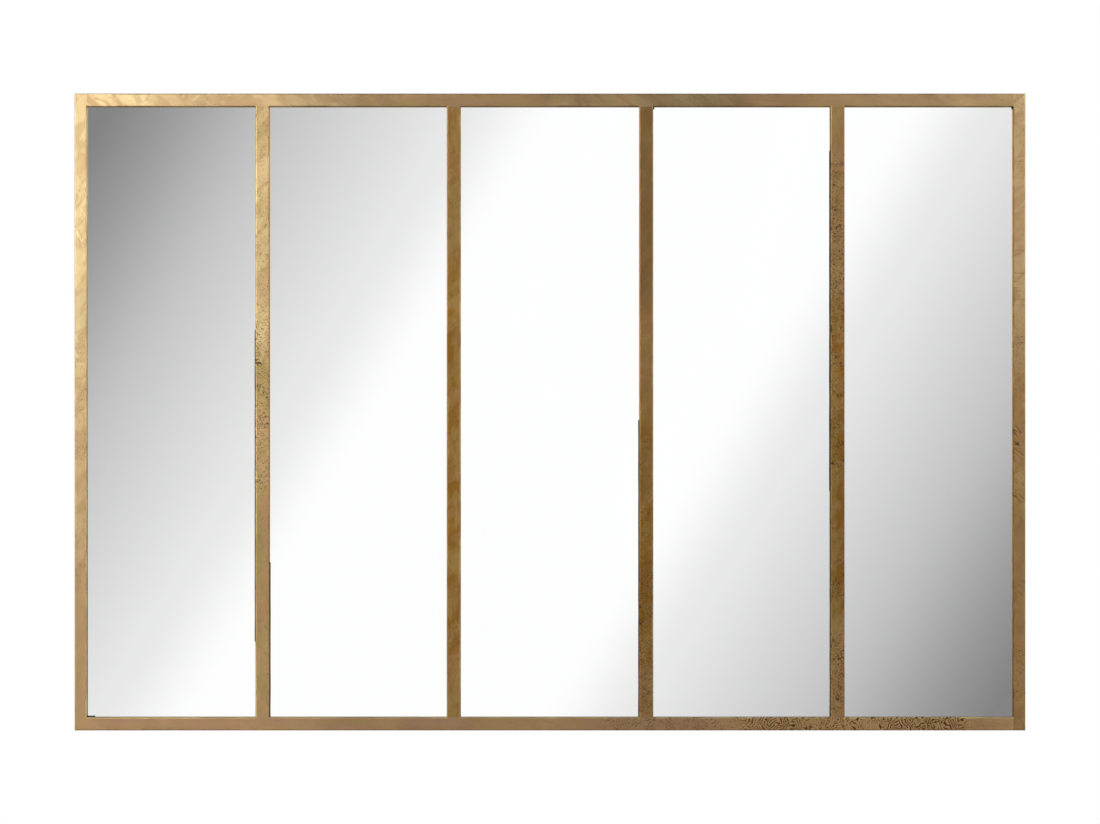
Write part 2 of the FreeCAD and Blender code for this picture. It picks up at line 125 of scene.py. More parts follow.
class Graph:
    """The nodes of one material or of the world."""

    def __init__(self, owner: bpy.types.Material | bpy.types.World) -> None:
        """Clear what the owner's node tree holds.

        Args:
            owner: The material or world to shade.
        """
        owner.use_nodes = True
        self.tree = owner.node_tree
        self.tree.nodes.clear()

    def node(self, kind: str, settings: dict, inputs: dict, output: int | str = 0) -> Signal:
        """Make a node of any type.

        Args:
            kind: The node's type, without ShaderNode before it.
            settings: The node's own options.
            inputs: A value or a signal for each socket, by name or by number.
            output: Which output to return, by number or by name.

        Returns:
            One output of the node, or an empty signal for a node without outputs.
        """
        made = self.tree.nodes.new(f"ShaderNode{kind}")
        for name, setting in settings.items():
            setattr(made, name, setting)
        for name, source in inputs.items():
            socket = made.inputs[name]
            if isinstance(source, Signal):
                self.tree.links.new(source.socket, socket)
            elif socket.type == "RGBA":
                socket.default_value = (*source, 1)
            else:
                socket.default_value = source
        return Signal(self, made.outputs[output]) if made.outputs else Signal(self, None)

    def maths(self, operation: str, *numbers: Number) -> Signal:
        """A Math node on one, two or three numbers."""
        return self.node("Math", {"operation": operation}, dict(enumerate(numbers)))

    def mix(self, share: Number, first: Paint, second: Paint) -> Signal:
        """Two colours mixed, with the second one's share."""
        return self.node("Mix", {"data_type": "RGBA"}, {0: share, 6: first, 7: second}, 2)

    def brighten(self, colour: Paint, level: Number) -> Signal:
        """A colour times a number."""
        return self.node("VectorMath", {"operation": "SCALE"}, {0: colour, "Scale": level})

    def place(self, centre: Place = (0, 0, 0), turn: Place = (0, 0, 0)) -> Signal:
        """Object coordinates about a centre, turned back by some angles."""
        here = self.node("TexCoord", {}, {}, "Object")
        return self.node("Mapping", {"vector_type": "TEXTURE"},
                         {"Vector": here, "Location": centre, "Rotation": turn})

    def stretch(self, place: Signal, scale: Place, turn: float) -> Signal:
        """A place turned about Y, then scaled by a number of repeats per metre on each axis."""
        turned = self.node("Mapping", {"vector_type": "TEXTURE"}, {"Vector": place, "Rotation": (0, turn, 0)})
        return self.node("VectorMath", {"operation": "MULTIPLY"}, {0: turned, 1: scale})

    def split(self, place: Signal) -> tuple[Signal, Signal, Signal]:
        """The three coordinates of a place."""
        apart = self.node("SeparateXYZ", {}, {0: place})
        return tuple(Signal(self, socket) for socket in apart.socket.node.outputs)

    def bump(self, height: Number, depth: float, strength: float, under: Signal | None = None) -> Signal:
        """Surface normals for a height map, by the depth of its full range, over another bump if given."""
        over = {} if under is None else {"Normal": under}
        return self.node("Bump", {}, {"Height": height, "Distance": depth, "Strength": strength, **over})

    def surface(self, **sockets: Number | Paint) -> None:
        """A Principled surface, with its sockets named in lower case, joined to the output."""
        named = {name.replace("_", " ").title(): source for name, source in sockets.items()}
        self.finish(self.node("BsdfPrincipled", {}, named))

    def finish(self, shader: Signal) -> None:
        """Join a shader to the output."""
        output = "OutputWorld" if isinstance(self.tree.id_data, bpy.types.World) else "OutputMaterial"
        self.node(output, {}, {"Surface": shader})


def new_material(name: str) -> tuple[bpy.types.Material, Graph]:
    """An empty material and its graph."""
    material = bpy.data.materials.new(name)
    return material, Graph(material)


# Finishes


@dataclass(frozen=True)
class Pattern:
    """Smooth noise about one half, by its repeats per metre: the same every way, or given for each axis.

    The turn is about Y, before the stretch. A harsh pattern has stronger fine detail.
    """

    scale: float = 1.0
    repeats: Place | None = None
    turn: float = 0.0
    detail: float = 2.0
    warp: float = 0.0
    harsh: float = 0.5

    def drawn(self, place: Signal) -> Signal:
        """The pattern at each place.

        Args:
            place: The coordinates that it follows.

        Returns:
            A number between 0 and 1, mostly near one half.
        """
        graph = place.graph
        if self.repeats:
            place = graph.stretch(place, self.repeats, self.turn)
        return graph.node("TexNoise", {}, {"Vector": place, "Scale": self.scale, "Detail": self.detail,
                                           "Distortion": self.warp, "Roughness": self.harsh})


class Run(Enum):
    """Which way a bar runs, as the turn that lays its length along X."""

    LEVEL = (0.0, 0.0, 0.0)
    UPRIGHT = (0.0, -math.pi / 2, 0.0)

    def axes(self) -> tuple[Vector, Vector]:
        """The directions along and across the front of a bar."""
        right, up = Vector((1, 0, 0)), Vector((0, 0, 1))
        return (right, up) if self is Run.LEVEL else (up, right)


class RimLight(Enum):
    """The colour painted on a rounded edge of a bar: painted highlight in the pale ones, painted shade in the
    dark ones.
    """

    BRASS = (0.66, 0.54, 0.27)
    STRAW = (0.56, 0.46, 0.21)
    AMBER = (0.40, 0.215, 0.060)
    RUST = (0.36, 0.150, 0.055)
    UMBER = (0.15, 0.085, 0.040)


@dataclass(frozen=True)
class Span:
    """A stretch of a bar, from one place to another along it, and how strong something is there."""

    start: float
    end: float
    strength: float = 1.0


def within(along: Signal, spans: Sequence[Span], fade: float = 0.022) -> Number:
    """How strong a set of spans is at each place along a bar.

    Args:
        along: The place along the bar.
        spans: The stretches.
        fade: Half the length over which each one fades in and out.

    Returns:
        The sum of the strengths, or plain zero where there are no spans.
    """
    strength: Number = 0.0
    for span in spans:
        rise = along.above(span.start - fade, span.start + fade)
        fall = along.below(span.end - fade, span.end + fade)
        strength = rise * fall * span.strength + strength
    return strength


@dataclass(frozen=True)
class LeafWork:
    """How the leaf lies on one bar. Places along it run up or right from its middle.

    The sample is the bar's own place in the patterns. The rims are the colours of painted highlight and shade
    on its left or upper edge, then on its right or lower edge, and so are their shares. The olive side is
    above 0 where the olive gathers at the bar's left or upper side, and below 0 for the other side. The tone
    is the bar's brightness, partly the leaf's own and partly painted shade. The pale spans and the folds are
    paler leaf and painted highlight, the umber spans are umber patina and painted shade, and the shade spans
    are painted shade.
    """

    run: Run
    sample: float
    rims: tuple[RimLight, RimLight] = (RimLight.STRAW, RimLight.AMBER)
    crackle: tuple[Span, ...] = ()
    cracks: tuple[Span, ...] = ()
    folds: tuple[Span, ...] = ()
    strokes: tuple[Span, ...] = ()
    pale: tuple[Span, ...] = ()
    umber: tuple[Span, ...] = ()
    shade: tuple[Span, ...] = ()
    olive: float = 0.5
    bronze: float = 0.5
    olive_side: float = 0.0
    curl: float = 0.5
    ink: float = 0.6
    tone: float = 1.0
    grain: float = 1.0
    rim_light_share: Pair = (0.15, 0.15)


@dataclass(frozen=True)
class Dust:
    """The dull dust that settles on faces that look up."""

    colour: Colour = (0.17, 0.145, 0.115)
    cover: float = 0.62
    roughness: float = 0.42
    slopes: Pair = (0.55, 0.92)

    def settled(self, graph: Graph) -> Signal:
        """How much of it lies at each place, from 0 to its cover."""
        _, _, upward = graph.split(graph.node("NewGeometry", {}, {}, "Normal"))
        return upward.above(*self.slopes) * self.cover


@dataclass(frozen=True)
class Marks:
    """Marks along the streaks of one pattern, or along their outlines, broken up by another pattern."""

    lines: Pattern
    edge: Pair
    breaks: Pattern
    gaps: Pair
    outlines: bool = False

    def mask(self, place: Signal, zone: Number) -> Signal:
        """How strongly the marks show at each place.

        Args:
            place: Coordinates along and across the bar.
            zone: How strong they are at each place along it.

        Returns:
            A mask of the marks.
        """
        lines = self.lines.drawn(place)
        shown = abs(lines - 0.5).below(*self.edge) if self.outlines else lines.above(*self.edge)
        return shown * self.breaks.drawn(place).above(*self.gaps) * zone


@dataclass(frozen=True)
class Crackle:
    """Short dark strokes, like a fingerprint: slanting strokes, curls and dots.

    The zone's swell, width, joins and dots say how much more of each there is where the zone is stronger,
    and its gain says how soon the strokes reach their full strength.
    """

    pitch: float = 0.0034
    slants: tuple[Pair, Pair] = ((0.80, 0.60), (0.65, -0.75))
    swirl: Pattern = Pattern(75)
    swirl_reach: float = 30.0
    either_way: Pattern = Pattern(50, detail=1)
    either_edge: Pair = (0.47, 0.53)
    ridge_edge: Pair = (0.35, 0.85)
    contours: Pattern = Pattern(160, detail=0, warp=1.1)
    contour_edge: Pair = (0.004, 0.024)
    fine_breaks: Pattern = Pattern(200)
    coarse_breaks: Pattern = Pattern(45)
    break_edge: Pair = (0.86, 0.96)
    specks: Pattern = Pattern(420, detail=1)
    dot_edge: Pair = (0.70, 0.75)
    slant_gain: float = 1.2
    curl_gain: float = 1.3
    coarse_share: float = 0.6
    zone_swell: float = 0.25
    zone_width: float = 0.012
    zone_joins: float = 0.22
    zone_dots: float = 0.06
    zone_gain: float = 1.7

    def mask(self, place: Signal, zone: Signal, curl: float) -> Signal:
        """How strongly the strokes show at each place, denser where the zone is stronger.

        Args:
            place: Coordinates along and across the bar.
            zone: How dense the strokes are at each place.
            curl: How much of them is curls, from 0 to 1. The rest is slanting strokes.

        Returns:
            A mask of the strokes.
        """
        graph = place.graph
        along, _, across = graph.split(place)
        turn = 2 * math.pi / self.pitch
        swirl = self.swirl.drawn(place) * self.swirl_reach
        one_way, other_way = (
            graph.maths("SINE", along * (turn * forward) + across * (turn * sideways) + swirl)
            for forward, sideways in self.slants
        )
        which = self.either_way.drawn(place).above(*self.either_edge)
        ridges = one_way * which + other_way * (1 - which) + zone * self.zone_swell
        slants = ridges.above(*self.ridge_edge) * min(1.0, self.slant_gain * (1 - curl))
        contours = abs(self.contours.drawn(place) - 0.5) - zone * self.zone_width
        curls = contours.below(*self.contour_edge) * min(1.0, self.curl_gain * curl)
        broken = self.fine_breaks.drawn(place) + self.coarse_breaks.drawn(place) * self.coarse_share
        strokes = slants.most(curls) * (broken + zone * self.zone_joins).above(*self.break_edge)
        dots = (self.specks.drawn(place) + zone * self.zone_dots).above(*self.dot_edge)
        return strokes.most(dots) * (zone * self.zone_gain).least(1.0)


@dataclass(frozen=True)
class Sheets:
    """Short sheets of leaf that overlap in slanting seams."""

    length: float = 0.085
    slant: float = 1.1
    seam_width: float = 0.0005
    seam_edge: Pair = (0.5, 1.6)
    unevenness: float = 0.8
    wander: Pattern = Pattern(60)
    wander_share: float = 0.12
    depth_share: float = 7.0
    breaks: Pattern = Pattern(150, detail=1)
    gaps: Pair = (0.42, 0.6)

    def laid(self, place: Signal) -> tuple[Signal, Signal, Signal]:
        """Where each sheet lies.

        Args:
            place: Coordinates along and across the bar.

        Returns:
            A mask of the seams, and two numbers from 0 to 1 that differ between sheets.
        """
        graph = place.graph
        along, depth, across = graph.split(place)
        wander = self.wander.drawn(place) * self.wander_share
        sheet = along / self.length + across * (self.slant / self.length) + wander
        cells = {"W": sheet + depth * self.depth_share, "Scale": 1.0, "Randomness": self.unevenness}
        one_way = {"voronoi_dimensions": "1D"}
        distance = graph.node("TexVoronoi", {**one_way, "feature": "DISTANCE_TO_EDGE"}, cells)
        tone, lift, _ = graph.split(graph.node("TexVoronoi", one_way, cells, "Color"))
        inner, outer = (self.seam_width / self.length * part for part in self.seam_edge)
        seam = distance.below(inner, outer) * self.breaks.drawn(place).above(*self.gaps)
        return seam, tone, lift


@dataclass(frozen=True)
class PaintedRimLight:
    """Painted highlight and shade on the rounded long edges of a bar, in uneven patches."""

    width: float = 0.0019
    fade_share: float = 0.6
    wander: Pattern = Pattern(55, detail=3)
    patches: Pattern = Pattern(20, detail=3)
    patch_edge: Pair = (0.42, 0.60)
    rim_patch_share: float = 0.45

    def paint_rim_light(self, place: Signal, node: str, work: LeafWork, colour: Signal) -> Signal:
        """The colour of a bar with painted highlight and shade on its long edges, those beside the panes only
        as far as the panes.

        Args:
            place: Coordinates along and across the bar.
            node: The bar's CAD node.
            work: How the leaf lies on the bar.
            colour: The colour between the edges.

        Returns:
            The colour with its rims.
        """
        graph = place.graph
        low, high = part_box(node)
        level = work.run is Run.LEVEL
        half_width = (high.z - low.z if level else high.x - low.x) / 2
        along, _, across = graph.split(place)
        wander = (self.wander.drawn(place) - 0.5) * self.width
        start = half_width - self.width
        rubbed_and_rim_lit = (abs(across) + wander).above(start, start + self.width * self.fade_share)
        first_side = across.above(-self.width, self.width)
        rim_light_share = first_side * work.rim_light_share[0] + (1 - first_side) * work.rim_light_share[1]
        rim_light_cover = (self.patches.drawn(place).above(*self.patch_edge) * self.rim_patch_share + rim_light_share).least(1.0)
        crossing = [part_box(name) for name, other in Grille.WORK.items() if (other.run is Run.LEVEL) != level]
        ends = sorted((last.x, first.x) if level else (last.z, first.z) for first, last in crossing)
        openings = [Span(low_end, high_end) for (low_end, _), (_, high_end) in zip(ends, ends[1:])]
        beside_pane = within(along, openings, self.width / 2)
        outer_first, outer_second = node in ("left_stile", "top_rail"), node in ("right_stile", "bottom_rail")
        shown = beside_pane.most(first_side if outer_first else (1 - first_side) * float(outer_second))
        rim = graph.mix(first_side, work.rims[1].value, work.rims[0].value)
        return graph.mix(rubbed_and_rim_lit * rim_light_cover * shown, colour, rim)


@dataclass(frozen=True)
class GildedLeaf:
    """Antiqued metal leaf on a dark ground, laid along a bar in short overlapping sheets."""

    gold: Colour = (0.385, 0.250, 0.118)
    pale: Colour = (0.565, 0.440, 0.228)
    olive: Colour = (0.300, 0.228, 0.075)
    bronze: Colour = (0.335, 0.198, 0.112)
    umber: Colour = (0.220, 0.102, 0.018)
    ground: Colour = (0.060, 0.028, 0.010)
    edge_tint: Colour = (0.72, 0.55, 0.32)
    metal: float = 0.97
    roughness: float = 0.31
    relief_depth: float = 0.0005
    grain_depth: float = 0.00006
    base_light: float = -0.02
    sheet_light: float = 0.10
    grit_light: float = 0.28
    speck_light: float = 0.40
    bruise_cover: float = 0.80
    fold_cover: float = 0.70
    stroke_cover: float = 0.40
    seam_cover: float = 0.15
    # what the colours and the relief follow
    grit: Pattern = Pattern(360, detail=4, harsh=0.6)
    specks: Pattern = Pattern(1500)
    hairs: Pattern = Pattern(240, detail=3, warp=1.2)
    hair_width: float = 0.03
    clouds: Pattern = Pattern(13, detail=3)
    cloud_edge: Pair = (0.38, 0.60)
    streaks: Pattern = Pattern(repeats=(9, 60, 170))
    patches: Pattern = Pattern(repeats=(28, 60, 75), turn=0.7, warp=1.0)
    umber_edge: Pair = (0.38, 0.62)
    milk_edge: Pair = (0.41, 0.58)
    lift_edge: Pair = (0.50, 0.60)
    smears: Pattern = Pattern(repeats=(30, 60, 80), detail=3, warp=0.5)
    smudge_edge: Pair = (0.47, 0.58)
    side_slope: float = 9.0
    dents: Pattern = Pattern(repeats=(20, 60, 55), turn=0.4, detail=3, warp=0.8)
    bruise_edge: Pair = (0.46, 0.60)
    dull_edge: Pair = (0.45, 0.70)
    # what was laid and drawn over it, and the painted highlight and shade on its rounded edges
    sheets: Sheets = Sheets()
    rims: PaintedRimLight = PaintedRimLight()
    crackle: Crackle = Crackle()
    cracks: Marks = Marks(Pattern(repeats=(22, 1, 170), turn=-0.85, detail=0, warp=0.5), (0.015, 0.055),
                          Pattern(55, detail=1), (0.50, 0.58), outlines=True)
    folds: Marks = Marks(Pattern(repeats=(40, 1, 190), turn=-0.62, detail=3, warp=0.7), (0.52, 0.66),
                         Pattern(40, detail=1), (0.40, 0.58))
    strokes: Marks = Marks(Pattern(repeats=(650, 1, 35), detail=1.5), (0.56, 0.64),
                           Pattern(30), (0.45, 0.60))
    dust: Dust = Dust()

    def material(self, node: str, work: LeafWork) -> bpy.types.Material:
        """The finish of one bar.

        Args:
            node: The bar's CAD node, whose middle is the middle of the pattern.
            work: How the leaf lies on it.

        Returns:
            The bar's material.
        """
        low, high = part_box(node)
        centre = (low + high) / 2
        material, graph = new_material(f"gilded_{node}")
        place = graph.place((centre.x, centre.y - work.sample, centre.z), work.run.value)
        along, _, across = graph.split(place)

        grit = self.grit.drawn(place) - 0.5
        specks = (self.specks.drawn(place) - 0.5) * work.grain
        clouds = self.clouds.drawn(place)
        streaks = self.streaks.drawn(place) - 0.5
        patches = self.patches.drawn(place) + grit * 0.04
        smears = self.smears.drawn(place) + streaks * 0.5
        smudges = smears + grit * 0.20 + across * (self.side_slope * work.olive_side)
        dents = self.dents.drawn(place)
        bruises = dents + grit * 0.14

        seam, sheet_tone, sheet_lift = self.sheets.laid(place)
        crackle = self.crackle.mask(place, within(along, work.crackle), work.curl)
        if work.cracks:
            crackle = crackle.most(self.cracks.mask(place, within(along, work.cracks)))
        folds = self.folds.mask(place, within(along, work.folds))
        strokes = self.strokes.mask(place, within(along, work.strokes))
        pale, umber, shade = (within(along, spans) for spans in (work.pale, work.umber, work.shade))

        colour = graph.mix(clouds.above(*self.cloud_edge) * work.bronze, self.gold, self.bronze)
        bruising = bruises.above(*self.bruise_edge) * work.bronze * self.bruise_cover
        colour = graph.mix(bruising, colour, self.bronze)
        # umber patina, partly painted shade: it darkens the bars along the umber spans
        mottling = patches.below(*self.umber_edge) * 0.3 + 0.7
        colour = graph.mix((umber * mottling).least(1.0), colour, self.umber)
        colour = graph.mix(smudges.above(*self.smudge_edge) * work.olive, colour, self.olive)
        # painted highlight, partly the leaf's own paler colour: milky pale patches along the pale spans, and
        # pale folds over their real relief
        milk = patches.above(*self.milk_edge) * 0.75 + sheet_lift.above(*self.lift_edge) * 0.40
        paleness = (pale * (milk + 0.1) + folds * self.fold_cover).least(1.0)
        colour = graph.mix(paleness, colour, self.pale)
        colour = graph.mix(strokes * self.stroke_cover, colour, self.ground)
        # painted highlight and shade on the rounded long edges: pale rims for highlight, dark rims for shade
        colour = self.rims.paint_rim_light(place, node, work, colour)
        speckle = (grit * self.grit_light + specks * self.speck_light) * work.grain
        # the leaf's brightness: its own tone by sheet and grit, and the bar's tone, which is partly painted
        # shade, darkened further by the painted shade of the shade spans
        light = sheet_tone * self.sheet_light + speckle + (work.tone + self.base_light)
        colour = graph.brighten(colour, light * (1 - shade))
        colour = graph.mix((seam * self.seam_cover).most(crackle * work.ink), colour, self.ground)
        dust = self.dust.settled(graph)
        colour = graph.mix(dust, colour, self.dust.colour)

        height = clouds * 0.4 + grit * (0.12 * work.grain) + (smears + dents) * 0.16 + folds * 0.35
        height = height - seam * 0.06 - crackle * (0.3 * work.ink)
        hairlines = abs(self.hairs.drawn(place) - 0.5).below(0.0, self.hair_width)
        grain = specks * 0.7 + hairlines * 0.5 + grit
        dull = grit * 0.12 + specks * 0.15 + crackle * 0.15 + bruises.above(*self.dull_edge) * 0.06
        relief = graph.bump(height, self.relief_depth, 0.7)
        graph.surface(
            base_color=colour,
            metallic=self.metal - dust,
            specular_tint=self.edge_tint,
            roughness=dull + dust * self.dust.roughness + self.roughness,
            normal=graph.bump(grain, self.grain_depth * work.grain, 0.8, relief),
        )
        return material


@dataclass(frozen=True)
class GildedTube:
    """The tube frame: leaf on its sides, running out over a dark paint on its back."""

    leaf: Colour = (0.40, 0.27, 0.120)
    dull_leaf: Colour = (0.25, 0.15, 0.060)
    paint: Colour = (0.035, 0.030, 0.026)
    metal: float = 0.93
    roughness: float = 0.28
    leaf_end: float = -0.0066
    leaf_edge: float = 0.0003
    ragged: float = 0.0014
    edge_wander: Pattern = Pattern(110, detail=4)
    mottle: Pattern = Pattern(45, detail=4, warp=0.5)
    mottle_edge: Pair = (0.40, 0.62)
    grain: Pattern = Pattern(380, detail=3)
    rubs: Pattern = Pattern(240, detail=3)
    rub_edge: Pair = (0.56, 0.62)
    relief_depth: float = 0.0003
    dust: Dust = Dust()

    def material(self) -> bpy.types.Material:
        """The finish of all four tubes and their welds.

        Returns:
            The new material.
        """
        material, graph = new_material("gilded_tube")
        place = graph.place()
        _, depth, _ = graph.split(place)
        mottle = self.mottle.drawn(place)
        grain = self.grain.drawn(place)
        edge = depth + (self.edge_wander.drawn(place) - 0.5) * (2 * self.ragged)
        bare = edge.above(self.leaf_end - self.leaf_edge, self.leaf_end + self.leaf_edge)
        rubbed_and_rim_lit = (self.rubs.drawn(place) * 0.6 + mottle * 0.4).above(*self.rub_edge) * 0.5
        leaf = graph.mix(mottle.above(*self.mottle_edge), self.leaf, self.dull_leaf)
        leaf = graph.mix(rubbed_and_rim_lit * 0.7, leaf, self.paint)
        paint = graph.brighten(self.paint, grain * 0.8 + mottle * 0.6 + 0.3)
        dust = self.dust.settled(graph)
        graph.surface(
            base_color=graph.mix(dust, graph.mix(bare, leaf, paint), self.dust.colour),
            metallic=((1 - bare) * self.metal - rubbed_and_rim_lit * 0.3 - dust).most(0.0),
            roughness=grain * 0.2 + bare * 0.12 + dust * self.dust.roughness + self.roughness,
            normal=graph.bump(mottle * 0.6 + grain * 0.25 - bare * 0.3, self.relief_depth, 0.6),
        )
        return material


@dataclass(frozen=True)
class Silvering:
    """Clean mirror glass, with the faintest haze on it."""

    silver: Colour = (0.935, 0.942, 0.938)
    dimming: float = 0.988
    haze: float = 0.012
    smears: Pattern = Pattern(repeats=(3, 3, 1.2), turn=0.4, detail=3, warp=1.0)
    tint_edge: Pair = (0.30, 0.70)
    haze_edge: Pair = (0.55, 0.80)
    specks: Pattern = Pattern(260)
    speck_edge: Pair = (0.70, 0.80)

    def material(self) -> bpy.types.Material:
        """The finish of the panes.

        Returns:
            The new material.
        """
        material, graph = new_material("mirror_glass")
        place = graph.place()
        smears = self.smears.drawn(place)
        specks = self.specks.drawn(place).above(*self.speck_edge)
        dimmed = tuple(part * self.dimming for part in self.silver)
        graph.surface(
            base_color=graph.mix(smears.above(*self.tint_edge), self.silver, dimmed),
            metallic=1.0,
            roughness=smears.above(*self.haze_edge) * self.haze + specks * self.haze,
        )
        return material


@dataclass(frozen=True)
class Paintwork:
    """A plain dull coat or moulding with a fine grain: paint, rubber or tape."""

    name: str
    colour: Colour
    roughness: float
    grain: Pattern = Pattern(500, detail=3)
    grain_depth: float = 0.00008
    dust: Pattern = Pattern(35, detail=4)
    dust_edge: Pair = (0.52, 0.72)

    def material(self) -> bpy.types.Material:
        """The finish as a material.

        Returns:
            The new material.
        """
        material, graph = new_material(self.name)
        place = graph.place()
        grain = self.grain.drawn(place)
        dust = self.dust.drawn(place).above(*self.dust_edge)
        graph.surface(
            base_color=graph.brighten(self.colour, grain * 0.6 + dust * 0.5 + 0.6),
            roughness=grain * 0.2 + dust * 0.06 + (self.roughness - 0.1),
            normal=graph.bump(grain, self.grain_depth, 0.7),
        )
        return material


@dataclass(frozen=True)
class Card:
    """Brown corrugated card, with its flutes upright."""

    paper: Colour = (0.46, 0.32, 0.19)
    roughness: float = 0.9
    flute_pitch: float = 0.0065
    fibres: Pattern = Pattern(repeats=(300, 300, 90), detail=4)
    relief_depth: float = 0.0002

    def material(self) -> bpy.types.Material:
        """The finish of the packing cards.

        Returns:
            The new material.
        """
        material, graph = new_material("packing_card")
        place = graph.place()
        across, _, _ = graph.split(place)
        flutes = graph.maths("SINE", across * (2 * math.pi / self.flute_pitch))
        fibres = self.fibres.drawn(place)
        graph.surface(
            base_color=graph.brighten(self.paper, fibres * 0.5 + flutes * 0.05 + 0.75),
            roughness=self.roughness,
            normal=graph.bump(flutes * 0.4 + fibres, self.relief_depth, 0.6),
        )
        return material


@dataclass(frozen=True)
class Hardboard:
    """Pressed wood fibre with the print of the wire screen that it was pressed on."""

    brown: Colour = (0.225, 0.130, 0.064)
    tan: Colour = (0.35, 0.225, 0.125)
    dark: Colour = (0.095, 0.050, 0.024)
    roughness: float = 0.70
    screen_pitch: float = 0.0016
    tide: Pattern = Pattern(3.5, warp=0.3)
    mottle: Pattern = Pattern(60, detail=4, warp=0.3)
    patch_edge: Pair = (0.35, 0.65)
    fibres: Pattern = Pattern(repeats=(420, 260, 2100), turn=0.6, warp=0.8)
    fibre_edge: Pair = (0.54, 0.66)
    crossed: Pattern = Pattern(repeats=(2100, 260, 400), turn=0.35, warp=0.8)
    crossed_edge: Pair = (0.56, 0.68)
    flecks: Pattern = Pattern(800)
    fleck_edge: Pair = (0.64, 0.70)
    relief_depth: float = 0.00022

    def material(self) -> bpy.types.Material:
        """The finish of the backing board.

        Returns:
            The new material.
        """
        material, graph = new_material("backing_board")
        place = graph.place()
        across, _, up = graph.split(place)
        wires = 2 * math.pi / self.screen_pitch
        screen = graph.maths("SINE", across * wires) * graph.maths("SINE", up * wires)
        tide = self.tide.drawn(place).above(*self.patch_edge)
        mottle = self.mottle.drawn(place).above(*self.patch_edge)
        fibres = self.fibres.drawn(place)
        crossed = self.crossed.drawn(place)
        flecks = self.flecks.drawn(place)
        colour = graph.mix(mottle * 0.35 + tide * 0.15, self.brown, self.tan)
        colour = graph.mix(fibres.above(*self.fibre_edge) * 0.65, colour, self.tan)
        colour = graph.mix(crossed.above(*self.crossed_edge) * 0.55, colour, self.dark)
        colour = graph.mix(flecks.above(*self.fleck_edge) * 0.75, colour, self.dark)
        graph.surface(
            base_color=graph.brighten(colour, screen * 0.08 + 1.0),
            roughness=self.roughness + flecks * 0.12,
            normal=graph.bump(fibres * 0.4 + crossed * 0.3 + screen * 0.25, self.relief_depth, 0.6),
        )
        return material


@dataclass(frozen=True)
class ZincPlate:
    """Bright zinc plating on pressed steel, a little clouded and scratched."""

    zinc: Colour = (0.60, 0.61, 0.60)
    straw: Colour = (0.58, 0.53, 0.40)
    dull: Colour = (0.33, 0.34, 0.35)
    roughness: float = 0.16
    clouds: Pattern = Pattern(130, detail=3, warp=0.8)
    cloud_edge: Pair = (0.40, 0.62)
    scratches: Pattern = Pattern(repeats=(1500, 90, 120), turn=0.8)
    spangle: Pattern = Pattern(900)
    spangle_edge: Pair = (0.50, 0.70)
    relief_depth: float = 0.00005

    def material(self) -> bpy.types.Material:
        """The finish of the small hardware.

        Returns:
            The new material.
        """
        material, graph = new_material("zinc_steel")
        place = graph.place()
        clouds = self.clouds.drawn(place)
        scratches = self.scratches.drawn(place)
        spangle = self.spangle.drawn(place)
        colour = graph.mix(clouds.above(*self.cloud_edge) * 0.55, self.zinc, self.straw)
        colour = graph.mix(spangle.above(*self.spangle_edge) * 0.5, colour, self.dull)
        graph.surface(
            base_color=colour,
            metallic=1.0,
            roughness=clouds * 0.2 + scratches * 0.15 + self.roughness,
            normal=graph.bump(scratches * 0.5 + spangle * 0.3, self.relief_depth, 0.7),
        )
        return material


# Sub-assemblies


def add_piece(
    name: str, shape: bmesh.types.BMesh, material: bpy.types.Material
) -> bpy.types.Object:
    """Make an object of a finished shape, dress it and fix it to the frame.

    Args:
        name: The piece's name.
        shape: Its closed mesh, in place. It is freed here.
        material: Its finish.

    Returns:
        The new object.
    """
    mesh = bpy.data.meshes.new(name)
    shape.to_mesh(mesh)
    shape.free()
    mesh.materials.append(material)
    piece = bpy.data.objects.new(name, mesh)
    bpy.context.scene.collection.objects.link(piece)
    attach(piece, BODY)
    log.info("made %s with %d faces", name, len(mesh.polygons))
    return piece


def smooth_below(shape: bmesh.types.BMesh, angle: float) -> None:
    """Shade a shape smooth, except over edges sharper than an angle.

    Args:
        shape: The shape.
        angle: The angle, in radians.
    """
    for face in shape.faces:
        face.smooth = True
    for edge in shape.edges:
        edge.smooth = edge.calc_face_angle(0) < angle


def dress(nodes: Sequence[str], material: bpy.types.Material) -> None:
    """Give carried-over CAD nodes their finish.

    Args:
        nodes: The nodes' names.
        material: Their finish.
    """
    for name in nodes:
        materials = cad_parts[name].data.materials
        materials.clear()
        materials.append(material)
        log.info("dressed %s in %s", name, material.name)


def nodes_like(*words: str) -> list[str]:
    """The names of the CAD nodes that hold one of some words."""
    return sorted(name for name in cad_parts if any(word in name for word in words))


